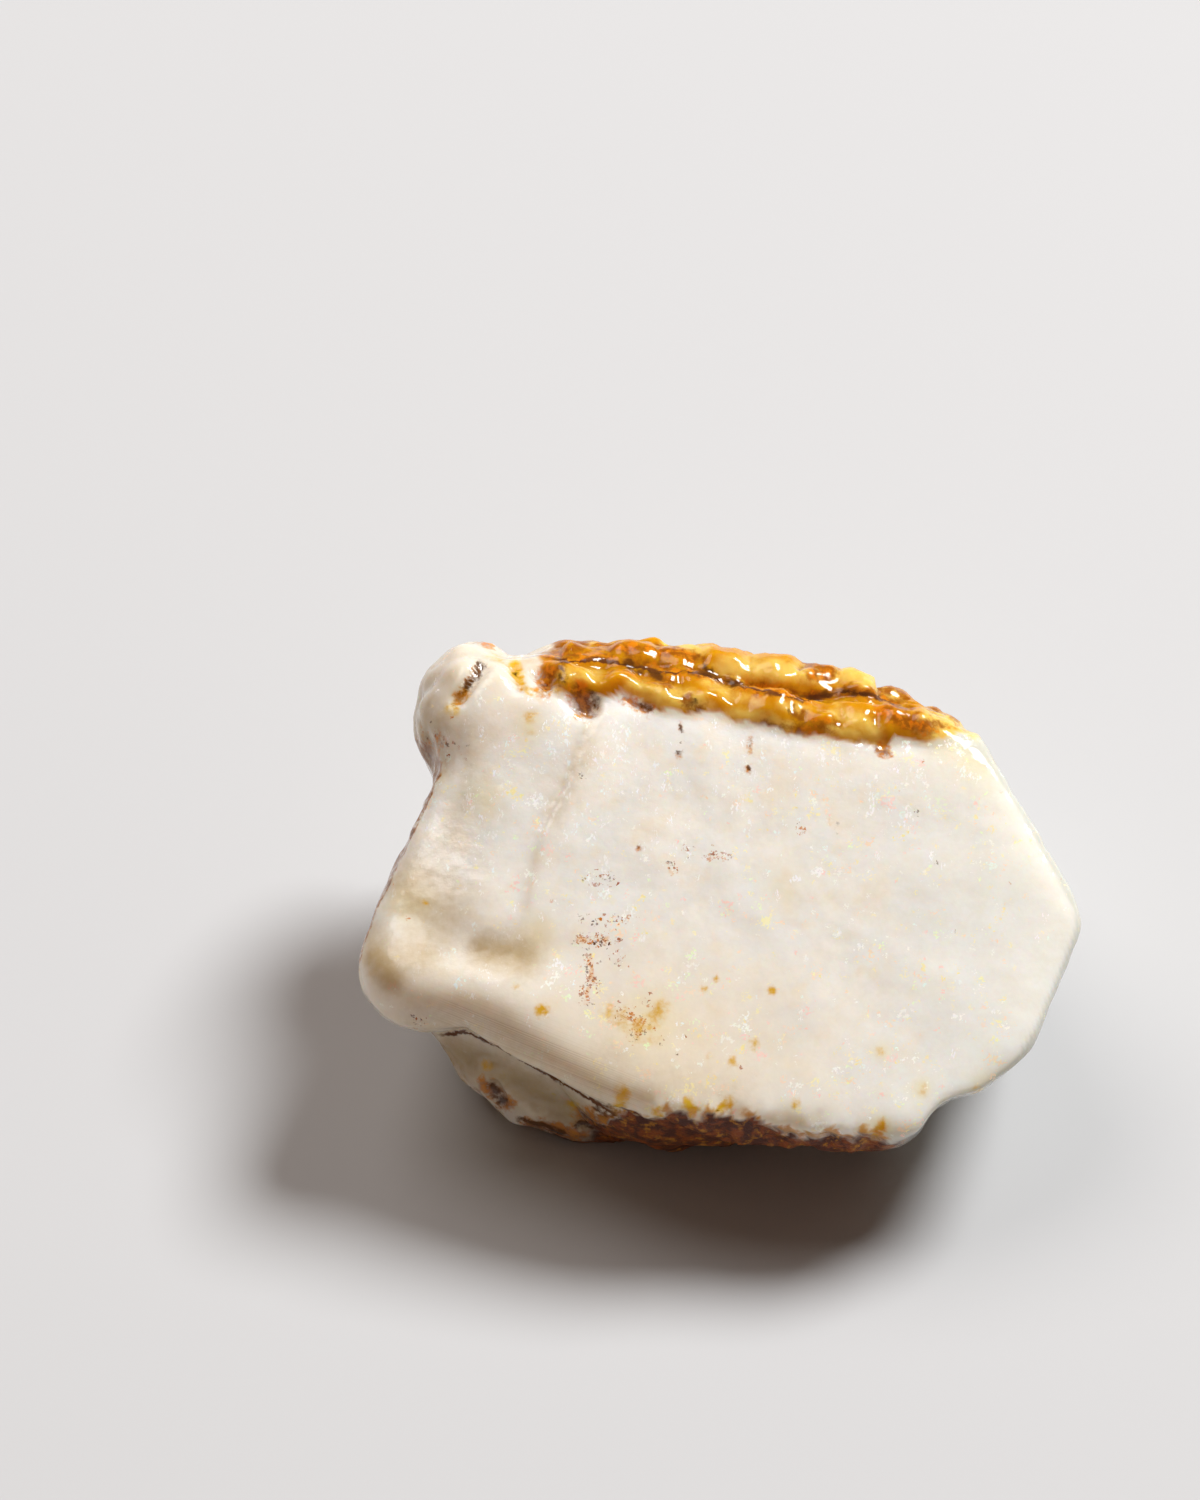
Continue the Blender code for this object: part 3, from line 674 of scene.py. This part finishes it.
def colour_shares(points, shares):
    """Named shares from 0 to 1 that the material reads."""
    ragged = grain(points, *RAGGED)
    wavy = points.copy()
    wavy[:, 0] += WAVY_SHIFT * grain(points, *WAVY)
    wavy[:, 1] += WAVY_SHIFT * grain(points[:, ::-1], *WAVY)
    patchy = ramp(grain(points[:, ::-1], *PATCHY), *PATCHY_RANGE)
    patchy = PATCHY_LEAST + (1 - PATCHY_LEAST) * patchy
    facing_w = shares["facing_w"]
    shown = zone(points, ragged, "front_half")
    amber = amber_share(points, ragged)
    crust = crust_cover(points, shares, ragged)
    bare = shown * (1 - crust)
    between = edge(shares["ridge"], ragged, "between_ridges") * zone(points, ragged, "behind_front_ridge")
    fringe = edge(-above_line(points, CRUST_EDGE), ragged, "fringe") * zone(points, ragged, "fringe")
    left_side = zone(points, ragged, "left_side") * edge(facing_w, ragged, "left_side")
    # Partly the knob's own duller tone, partly painted shade that is strongest on its lit rim.
    knob = zone(points, ragged, "knob") * (KNOB_LEAST + (1 - KNOB_LEAST) * shares["rim"])
    return {
        "amber": amber,
        "pale": strokes(wavy, "pale"),
        "deep": np.maximum(strokes(wavy, "deep"), BETWEEN_DEEP * between),
        "dark": np.maximum(strokes(wavy, "dark") * patchy, SIDE_DARK * left_side) * bare,
        "rust": np.maximum(strokes(wavy, "rust"), SIDE_RUST * left_side) * bare,
        "yellow": strokes(wavy, "yellow") * bare,
        # Tan: partly stain, partly painted shade.
        "tan": strokes(points, "tan") * bare,
        "crust": crust,
        "fringe": fringe * facing_w * (1 - crust),
        "specks": strokes(points, "specks") * bare * (1 - amber),
        # Painted shade: a dull grey laid over the brightly lit right rim.
        "rim_shade": shares["rim"] * zone(points, ragged, "right_edge") * (1 - amber),
        "knob": knob,
        "clear": zone(points, ragged, "clear"),
        "cream": zone(points, ragged, "cream"),
        "tinge": strokes(points, "tinge"),
        "lip_side": beside_line(points, LIP_LINE),
        "lip_near": near_line(points, LIP_LINE) * shown,
        "groove_side": beside_line(points, GROOVE),
        "groove_near": near_line(points, GROOVE) * amber,
        "fire": strokes(points, "fire") * facing_w,
        "back": shares["back"] + shares["sides"] * (1 - facing_w),
        "face": facing_w * (1 - amber) * (1 - crust),
        "layer": 0.5 + points[:, :2] @ np.array(LAYER_ACROSS) / LAYER_RANGE,
        "striae": strokes(points, "striae") * facing_w,
        "ripple": strokes(points, "ripple") * (1 - amber),
    }


# ---- Materials

MILK = (0.885, 0.85, 0.785, 1)
COOL_MILK = (0.835, 0.825, 0.79, 1)
CREAM = (0.87, 0.775, 0.63, 1)
POTCH = (0.66, 0.59, 0.48, 1)
# Painted shade: a dull grey laid over the brightly lit right rim.
RIM_SHADE_TINT = (0.52, 0.54, 0.5, 1)
CLEAR = (0.855, 0.865, 0.83, 1)
OCHRE = (0.52, 0.33, 0.12, 1)
LEMON = (0.84, 0.72, 0.34, 1)
STRIA = (0.5, 0.4, 0.27, 1)
AMBER = (0.54, 0.24, 0.002, 1)
AMBER_DEEP = (0.27, 0.08, 0.003, 1)
AMBER_PALE = (0.7, 0.49, 0.11, 1)
LINE_BROWN = (0.15, 0.05, 0.01, 1)
RUST = (0.3, 0.082, 0.002, 1)
RUST_BRIGHT = (0.62, 0.22, 0.006, 1)
CRUST = (0.32, 0.075, 0.01, 1)
CRUST_DARK = (0.1, 0.024, 0.01, 1)
CRUST_LIGHT = (0.56, 0.23, 0.02, 1)
GRAIN_STAIN = (0.78, 0.44, 0.16, 1)
FLOOR = (0.55, 0.56, 0.576, 1)

# Clouds: size in mm, detail and roughness of their noise, and the noise where they set in and are full.
CLOUDS = {
    "cool": (4, 4, 0.6, 0.4, 0.6),
    "creamy": (1.6, 3, 0.5, 0.52, 0.7),
    "dull": (2.4, 4, 0.6, 0.42, 0.62),
    "fine": (0.3, 4, 0.65, 0.3, 0.7),
    "ochre": (1.9, 5, 0.65, 0.52, 0.66),
    "fire": (2, 3, 0.5, 0.42, 0.58),
    "bright_rust": (0.45, 3, 0.6, 0.4, 0.6),
    "rock": (0.8, 4, 0.65, 0.43, 0.62),
    "light_rock": (0.6, 4, 0.7, 0.53, 0.66),
    "wide_groove": (0.8, 3, 0.5, 0.4, 0.62),
    "wide_lip": (0.8, 3, 0.5, 0.2, 0.75),
}
CREAMY_MOST = 0.5  # how much the clouds cover
FINE_MOST = 0.08
OCHRE_MOST = 0.8
DULL_MOST = (0.9, 0.1)  # off the broken face and on it

# Tints over the milky opal: how much they cover and their colour. The tint on the right rim is painted shade
# over the brightly lit rim, and the knob tint is partly the knob's own duller tone and partly painted shade
# on its lit rim.
TINTS = {
    "clear": (0.8, CLEAR),
    "cream": (0.8, CREAM),
    "tinge": (0.6, LEMON),
    "rim_shade": (0.9, RIM_SHADE_TINT),
    "knob": (0.75, POTCH),
}

# Stains: how much noise breaks up their edge, the share where they set in and are full, how much they cover,
# and their colour. Rust has two colours in clouds.
STAINS = {
    # The tan stain is partly painted shade on the left side, the step, the lip and the lobe.
    "tan": (0.4, 0, 1, 0.9, (0.5, 0.37, 0.185, 1)),
    "yellow": (1.3, 0.05, 0.8, 0.95, (0.72, 0.42, 0.003, 1)),
    "rust": (1.8, 0.15, 0.75, 0.9, None),
    "fringe": (1.2, 0.1, 0.95, 0.8, (0.58, 0.26, 0.008, 1)),
    "dark": (1.4, 0.25, 0.75, 0.88, (0.08, 0.026, 0.004, 1)),
}
STAIN_NOISE = (0.45, 4, 0.6)  # size in mm, detail and roughness
STAIN_FOOT = (0.02, 0.3)  # shares between which the noise comes in

# The amber skin: its noise, how much that shifts its pale and deep shares, and the ranges of these.
AMBER_NOISE = (0.75, 4, 0.62)
PALE_WOBBLE = 0.8
PALE_RANGE = (0.15, 0.95)
DEEP_WOBBLE = 1.7
DEEP_RANGE = (0.16, 0.7)
DEEP_MOST = 0.9  # how much the deep brown covers

# The play of colour: size of its cells in mm, share of them lit outside its places and in them, size in mm of
# the bits that a lit cell breaks into, and the noise from which these show.
FIRE_LAYERS = (
    (0.95, 0.02, 0.42, 0.2, 0.6), (0.6, 0.02, 0.42, 0.15, 0.6), (0.3, 0.02, 0.32, 0.11, 0.58),
)
FIRE_HUES = (
    (0, (1, 0.9, 0.55)), (0.26, (1, 0.76, 0.58)), (0.46, (1, 1, 0.93)), (0.66, (0.84, 1, 0.66)),
    (0.73, (1, 0.68, 0.62)), (0.84, (0.85, 0.99, 0.96)), (0.88, (1, 0.84, 0.4)),
)

# Painted glints: small white flecks that stand in for glints of light in the rippled places: the same, and
# how they are drawn out.
GLINT_LAYERS = ((0.65, 0, 0.3, 0.14, 0.62), (0.36, 0.01, 0.3, 0.1, 0.6))
GLINT_HUES = ((0, (1, 1, 1)), (0.8, (0.9, 1, 1)))
GLINT_STRETCH = (1, 0.55, 0.55)
ROUND = (1, 1, 1)

# Brown grains: the same, then the noise of their stain and where it sets in and is full.
GRAIN_LAYERS = ((0.4, 0.0005, 1, 0.16, 0.57), (0.24, 0.0005, 0.8, 0.11, 0.56))
GRAIN_HUES = ((0, (0.4, 0.1, 0.004)), (0.35, (0.12, 0.032, 0.004)), (0.65, (0.6, 0.2, 0.01)))
GRAIN_STAIN_NOISE = (0.5, 3)  # size in mm and detail
GRAIN_STAIN_RANGE = (0.3, 0.6)
GRAIN_STAIN_MOST = 0.7

# How a lit cell breaks into flecks.
CELL_WAVE = 2  # size of the noise that bends the cells, over the cell's size
FLECK_NOISE = (2, 0.6)  # detail and roughness
FLECK_CORE = (0.6, 0.2)  # shares of a cell from its middle between which flecks crowd together
FLECK_CROWDING = 0.12  # added to their noise there
FLECK_EDGE = 0.06  # noise across a fleck's soft edge
FLECK_FAINTEST = 0.45

# The fine lines along the lip: size in mm, detail, and the noise where they set in and are full.
STRIA_SIZE = 0.3
STRIA_DETAIL = 2
STRIA_RANGE = (0.48, 0.66)

LINE_HALF_WIDTHS = {"groove": 0.14, "lip": 0.12}  # mm
LINE_RAGGED = 0.5  # mm
LINE_WIDTHS = (0.2, 2)  # least and most, over the half width
LINE_CORE = 0.3  # share of the width that is full brown

# The surface itself.
OPAL_ROUGH = (0.04, 0.16)
OPAL_ROUGH_NOISE = (0.7, 3)  # size in mm and detail
CRUST_ROUGH = 0.42
SCATTER = (1, 0.15)  # share of light scattered below milky opal, and below crust and dark stain
SCATTER_COLOURS = (1, 0.78, 0.55)
SCATTER_DEPTH = 2.6  # mm
OPAL_IOR = 1.45
RIPPLE_NOISE = (0.42, 3, 0.5)  # size in mm, detail and roughness
RIPPLE_HEIGHT = 0.05  # mm
RIPPLE_RANGE = (0.3, 1)  # away from the rippled places and in them
ROCK_NOISE = (0.18, 4, 0.7)
ROCK_HEIGHT = 0.12  # mm
FLOOR_ROUGH = 0.85
FLOOR_SHINE = 0.2


class Shader:
    """A short way to add nodes and link them."""

    def __init__(self, name):
        self.material = bpy.data.materials.new(name)
        self.material.use_nodes = True
        self.tree = self.material.node_tree
        self.surface = self.tree.nodes["Principled BSDF"]

    def put(self, socket, value):
        if isinstance(value, bpy.types.NodeSocket):
            self.tree.links.new(value, socket)
        else:
            socket.default_value = value

    def add(self, kind, output, inputs, **settings):
        """One output of a new node, or all of them."""
        node = self.tree.nodes.new(kind)
        for key, value in settings.items():
            setattr(node, key, value)
        for key, value in inputs.items():
            self.put(node.inputs[key], value)
        return node.outputs if output == "all" else node.outputs[output]

    def attribute(self, name):
        return self.add("ShaderNodeAttribute", "Fac", {}, attribute_name=name)

    def place(self, squeeze=ROUND):
        """Position on the stone in millimetres."""
        raw = self.add("ShaderNodeTexCoord", "Object", {})
        scale = tuple(PER_MM * value for value in squeeze)
        return self.add("ShaderNodeMapping", "Vector", {"Vector": raw, "Scale": scale})

    def noise(self, size, detail=2, rough=0.5, output="Fac", place=None):
        inputs = {"Vector": place or self.place(), "Scale": 1 / size, "Detail": detail, "Roughness": rough}
        return self.add("ShaderNodeTexNoise", output, inputs)

    def math(self, operation, a, b=0):
        return self.add("ShaderNodeMath", 0, {0: a, 1: b}, operation=operation)

    def times(self, a, b):
        return self.math("MULTIPLY", a, b)

    def between(self, value, low, high):
        """0 below low and 1 above high."""
        inputs = {"Value": value, "From Min": low, "From Max": high}
        return self.add("ShaderNodeMapRange", "Result", inputs, interpolation_type="SMOOTHSTEP")

    def clouds(self, name):
        size, detail, rough, low, high = CLOUDS[name]
        return self.between(self.noise(size, detail, rough), low, high)

    def mix(self, share, first, second):
        return self.add("ShaderNodeMix", 2, {"Factor": share, 6: first, 7: second}, data_type="RGBA")

    def level(self, share, first, second):
        """A number between two others."""
        return self.add("ShaderNodeMapRange", "Result", {"Value": share, "To Min": first, "To Max": second})

    def bump(self, height, distance, **onto):
        return self.add("ShaderNodeBump", "Normal", {"Height": height, "Distance": distance, **onto})


def cells(shader, size, stretch=ROUND):
    """The middle distances and the random colours of small cells, in shares of a cell."""
    wavy = shader.noise(CELL_WAVE * size, 1, output="Color")
    shift = shader.add("ShaderNodeVectorMath", 0, {0: wavy, 1: (size, size, size)}, operation="MULTIPLY")
    place = shader.add("ShaderNodeVectorMath", 0, {0: shader.place(stretch), 1: shift}, operation="ADD")
    found = shader.add("ShaderNodeTexVoronoi", "all", {"Vector": place, "Scale": 1 / size})
    return found["Distance"], shader.add("ShaderNodeSeparateColor", "all", {0: found["Color"]})


def chosen_hue(shader, chance, hues):
    """One of several hues, each from its own chance on."""
    node = shader.tree.nodes.new("ShaderNodeValToRGB")
    shader.put(node.inputs["Fac"], chance)
    ramp_of_hues = node.color_ramp
    ramp_of_hues.interpolation = "CONSTANT"
    ramp_of_hues.elements.remove(ramp_of_hues.elements[1])
    for at, colour in hues:
        element = ramp_of_hues.elements[0] if at == 0 else ramp_of_hues.elements.new(at)
        element.color = colour + (1,)
    return node.outputs["Color"]


def with_flecks(shader, body, zone_share, layers, hues, stretch=ROUND):
    """Clusters of small irregular flecks laid into the milky opal, each cluster in one hue."""
    for size, least, most, bit, low in layers:
        distance, chance = cells(shader, size, stretch)
        odds = shader.math("SUBTRACT", 1, shader.level(zone_share, least, most))
        lit = shader.math("GREATER_THAN", chance[0], odds)
        core = shader.between(distance, *FLECK_CORE)
        bits = shader.noise(bit, *FLECK_NOISE, place=shader.place(stretch))
        bits = shader.math("ADD", bits, shader.times(core, FLECK_CROWDING))
        bits = shader.between(bits, low, low + FLECK_EDGE)
        share = shader.times(shader.times(lit, bits), shader.level(chance[2], FLECK_FAINTEST, 1))
        body = shader.mix(share, body, chosen_hue(shader, chance[1], hues))
    return body


def with_fire(shader, body):
    """The play of colour, and painted glints: white flecks in the rippled places."""
    fire = shader.times(shader.attribute("fire"), shader.clouds("fire"))
    body = with_flecks(shader, body, fire, FIRE_LAYERS, FIRE_HUES)
    # Painted glints: white flecks where the face ripples.
    return with_flecks(shader, body, shader.attribute("ripple"), GLINT_LAYERS, GLINT_HUES, GLINT_STRETCH)


def with_grains(shader, body):
    """Fine brown grains, crowded in places where they stain the opal about them."""
    specks = shader.attribute("specks")
    stain = shader.between(shader.times(specks, shader.noise(*GRAIN_STAIN_NOISE)), *GRAIN_STAIN_RANGE)
    body = shader.mix(shader.times(stain, GRAIN_STAIN_MOST), body, GRAIN_STAIN)
    return with_flecks(shader, body, specks, GRAIN_LAYERS, GRAIN_HUES)


def tinted(shader, body, *names):
    """The body with soft tints laid over it."""
    for name in names:
        most, colour = TINTS[name]
        body = shader.mix(shader.times(shader.attribute(name), most), body, colour)
    return body


def stained(shader, body, name, ragged):
    """The body with one stain laid over it, its edge broken up by noise."""
    wobble, low, high, most, colour = STAINS[name]
    if colour is None:
        colour = shader.mix(shader.clouds("bright_rust"), RUST, RUST_BRIGHT)
    share = shader.attribute(name)
    rough = shader.times(ragged, shader.times(shader.between(share, *STAIN_FOOT), wobble))
    share = shader.between(shader.math("ADD", share, rough), low, high)
    return shader.mix(shader.times(share, most), body, colour)


def with_striae(shader, body):
    """Fine lines along the lip."""
    layer = shader.times(shader.attribute("layer"), LAYER_RANGE / STRIA_SIZE)
    inputs = {"W": layer, "Detail": STRIA_DETAIL}
    lines = shader.add("ShaderNodeTexNoise", "Fac", inputs, noise_dimensions="1D")
    share = shader.times(shader.between(lines, *STRIA_RANGE), shader.attribute("striae"))
    return shader.mix(share, body, STRIA)


def with_line(shader, body, name, ragged):
    """A thin ragged brown line laid over the body."""
    half_width = LINE_HALF_WIDTHS[name]
    least, most = LINE_WIDTHS
    aside = shader.math("SUBTRACT", shader.attribute(name + "_side"), 0.5)
    aside = shader.math("ADD", shader.times(aside, LINE_RANGE), shader.times(ragged, LINE_RAGGED))
    width = shader.level(shader.clouds("wide_" + name), least * half_width, most * half_width)
    share = shader.between(shader.math("ABSOLUTE", aside), width, shader.times(width, LINE_CORE))
    return shader.mix(shader.times(share, shader.attribute(name + "_near")), body, LINE_BROWN)


def milky_body(shader):
    """Milk-white opal with cooler, creamier and duller clouds, painted shade over its lit right rim, a duller
    knob that is partly painted shade, and ochre stain on its back.
    """
    body = shader.mix(shader.clouds("cool"), MILK, COOL_MILK)
    body = shader.mix(shader.times(shader.clouds("creamy"), CREAMY_MOST), body, CREAM)
    body = tinted(shader, body, "clear", "cream", "tinge")
    dull = shader.times(shader.clouds("dull"), shader.level(shader.attribute("face"), *DULL_MOST))
    body = shader.mix(dull, body, POTCH)
    # Painted shade over the lit right rim, and the knob's duller tone, which is partly painted shade on its
    # lit rim.
    body = tinted(shader, body, "rim_shade", "knob")
    body = shader.mix(shader.times(shader.clouds("fine"), FINE_MOST), body, POTCH)
    ochre = shader.times(shader.attribute("back"), shader.clouds("ochre"))
    return shader.mix(shader.times(ochre, OCHRE_MOST), body, OCHRE)


def amber_skin(shader):
    """Amber with paler and deeper patches."""
    wobble = shader.math("SUBTRACT", shader.noise(*AMBER_NOISE), 0.5)
    pale = shader.math("ADD", shader.attribute("pale"), shader.times(wobble, PALE_WOBBLE))
    skin = shader.mix(shader.between(pale, *PALE_RANGE), AMBER, AMBER_PALE)
    deep = shader.math("SUBTRACT", shader.attribute("deep"), shader.times(wobble, DEEP_WOBBLE))
    return shader.mix(shader.times(shader.between(deep, *DEEP_RANGE), DEEP_MOST), skin, AMBER_DEEP)


def brown_crust(shader):
    """Red-brown rock with darker and lighter patches."""
    rock = shader.mix(shader.clouds("rock"), CRUST_DARK, CRUST)
    return shader.mix(shader.clouds("light_rock"), rock, CRUST_LIGHT)


def stone_colour(shader, crust):
    """All the stone's colours, from the milky body up to the crust."""
    ragged = shader.math("SUBTRACT", shader.noise(*STAIN_NOISE), 0.5)
    body = with_fire(shader, milky_body(shader))
    body = with_striae(shader, body)
    # Tan, partly stain and partly painted shade.
    body = stained(shader, body, "tan", ragged)
    body = with_grains(shader, body)
    body = shader.mix(shader.attribute("amber"), body, amber_skin(shader))
    for name in ("yellow", "rust", "fringe"):
        body = stained(shader, body, name, ragged)
    body = with_line(shader, body, "groove", ragged)
    body = stained(shader, body, "dark", ragged)
    # The line under the lip is partly painted shade in its crease.
    body = with_line(shader, body, "lip", ragged)
    return shader.mix(crust, body, brown_crust(shader))


def opal_material():
    """Wet-looking milky opal that light sinks into, and dull rough crust."""
    shader = Shader("milky_opal")
    crust = shader.attribute("crust")
    surface = shader.surface.inputs
    shader.put(surface["Base Color"], stone_colour(shader, crust))
    wet = shader.level(shader.noise(*OPAL_ROUGH_NOISE), *OPAL_ROUGH)
    shader.put(surface["Roughness"], shader.level(crust, wet, CRUST_ROUGH))
    hard = shader.math("MAXIMUM", crust, shader.attribute("dark"))
    shader.put(surface["Subsurface Weight"], shader.level(hard, *SCATTER))
    surface["Subsurface Radius"].default_value = SCATTER_COLOURS
    surface["Subsurface Scale"].default_value = SCATTER_DEPTH * MM
    surface["IOR"].default_value = OPAL_IOR

    ripple = shader.level(shader.attribute("ripple"), *RIPPLE_RANGE)
    normal = shader.bump(shader.times(shader.noise(*RIPPLE_NOISE), ripple), RIPPLE_HEIGHT * MM)
    rock = shader.times(shader.noise(*ROCK_NOISE), crust)
    shader.put(surface["Normal"], shader.bump(rock, ROCK_HEIGHT * MM, Normal=normal))
    return shader.material


def floor_material():
    shader = Shader("pale_floor")
    surface = shader.surface.inputs
    surface["Base Color"].default_value = FLOOR
    surface["Roughness"].default_value = FLOOR_ROUGH
    surface["Specular IOR Level"].default_value = FLOOR_SHINE
    return shader.material


# ---- The scene

FLOOR_SIZE = 3  # metres

# Camera: distance in metres, pixels per millimetre at the heart, and where the heart lies in the picture.
CAMERA_FAR = 0.6
CAMERA_NEAREST = 0.01  # metres from which it sees
PICTURE = (1200, 1500)
PIXELS_PER_MM = 18.5
HEART_PIXEL = (715, 895)
SENSOR = 36  # mm, along the picture's long side

# Lights: direction from the stone, distance and size in metres, power in watts, colour.
LIGHTS = {
    "key": ((0.65, 0.6, 1), 1.2, 0.48, 19.4, (1, 1, 0.99)),
    "second": ((-0.45, 0.5, 1), 1.2, 0.8, 5.1, (1, 0.93, 0.88)),
}
SKY = (1, 0.72, 0.56, 1)
SKY_STRENGTH = 0.14


def placed(name, data):
    """A new object in the scene."""
    thing = bpy.data.objects.new(name, data)
    bpy.context.scene.collection.objects.link(thing)
    return thing


def make_stone():
    directions, quads = grid()
    points, shares = relief(*surface(directions))
    points = cut_flat(points)
    mesh = bpy.data.meshes.new("opal_stone")
    mesh.from_pydata(at_rest(points).tolist(), [], quads)
    for name, values in colour_shares(points, shares).items():
        layer = mesh.attributes.new(name, "FLOAT", "POINT")
        layer.data.foreach_set("value", np.clip(values, 0, 1).astype(np.float32))
    mesh.materials.append(opal_material())
    mesh.shade_smooth()
    stone = placed("opal_stone", mesh)
    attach(stone, "root")
    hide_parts("opal")


def make_floor():
    half = FLOOR_SIZE / 2
    mesh = bpy.data.meshes.new("floor")
    corners = [(-half, -half, 0), (half, -half, 0), (half, half, 0), (-half, half, 0)]
    mesh.from_pydata(corners, [], [(0, 1, 2, 3)])
    mesh.materials.append(floor_material())
    placed("floor", mesh)


def make_camera():
    rise = math.radians(FACE_RISE)
    right = Vector((1, 0, 0))
    up = Vector((0, math.sin(rise), math.cos(rise)))
    toward = Vector((0, -math.cos(rise), math.sin(rise)))
    heart = Vector((HEART_X, HEART_Y, BASE_DROP)) * MM
    aside = (HEART_PIXEL[0] - PICTURE[0] / 2) / PIXELS_PER_MM * MM
    below = (HEART_PIXEL[1] - PICTURE[1] / 2) / PIXELS_PER_MM * MM
    target = heart - right * aside + up * below
    data = bpy.data.cameras.new("camera")
    data.sensor_width = SENSOR
    data.lens = PIXELS_PER_MM * CAMERA_FAR * PER_MM / PICTURE[1] * SENSOR
    data.clip_start = CAMERA_NEAREST
    camera = placed("camera", data)
    camera.location = target + toward * CAMERA_FAR
    camera.rotation_euler = (-toward).to_track_quat("-Z", "Y").to_euler()
    bpy.context.scene.camera = camera


def make_lights():
    for name, (direction, far, size, power, colour) in LIGHTS.items():
        data = bpy.data.lights.new(name, "AREA")
        data.shape = "DISK"
        data.size = size
        data.energy = power
        data.color = colour
        light = placed(name, data)
        toward = Vector(direction).normalized()
        light.location = toward * far
        light.rotation_euler = toward.to_track_quat("Z", "Y").to_euler()
        light.visible_camera = False
    world = bpy.data.worlds.new("studio")
    world.use_nodes = True
    background = world.node_tree.nodes["Background"]
    background.inputs["Color"].default_value = SKY
    background.inputs["Strength"].default_value = SKY_STRENGTH
    bpy.context.scene.world = world
    bpy.context.scene.view_settings.view_transform = "Standard"


make_stone()
make_floor()
make_camera()
make_lights()
